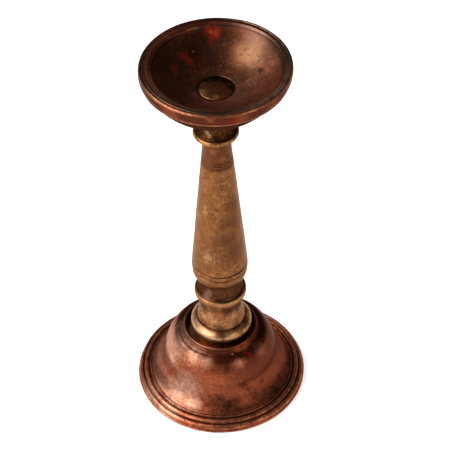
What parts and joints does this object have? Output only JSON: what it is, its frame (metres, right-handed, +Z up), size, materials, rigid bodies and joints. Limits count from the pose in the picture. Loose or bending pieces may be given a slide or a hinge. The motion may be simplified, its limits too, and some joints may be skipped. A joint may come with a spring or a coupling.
{
  "type": "oil lamp",
  "caption": "Standing diya: a shallow round oil bowl on a tapered turned stem and a bell-shaped, beaded base, drawn together by a central rod.",
  "frame": {"origin": "centre of the circle that the foot rim stands on", "axes": "+Z up along the lamp's axis, from the base to the bowl; the lamp is round, so +X and +Y are free"},
  "size_m": [0.096, 0.096, 0.2275],
  "materials": {
    "copper_bowl": "aged dark copper, worn bright at the rim",
    "copper_base": "aged red-brown copper, satin",
    "foot_brass": "mottled yellow brass, satin",
    "stem_brass": "aged brass, satin",
    "column_brass": "brown satin brass",
    "dark_brass": "dark tarnished brass",
    "rod_brass": "oil-stained brass",
    "hardware_brass": "dull tarnished brass",
    "solder": "dull, blackened by oil"
  },
  "bodies": {
    "root": {"oil_bowl": "copper_bowl", "bowl_seal_ring": "solder", "tie_rod": "rod_brass", "stem_collar": "stem_brass", "stem_column": "column_brass", "stem_knop": "dark_brass", "stem_foot": "foot_brass", "base_bell": "copper_base", "rod_washer": "hardware_brass", "rod_nut": "hardware_brass"}
  },
  "joints": []
}
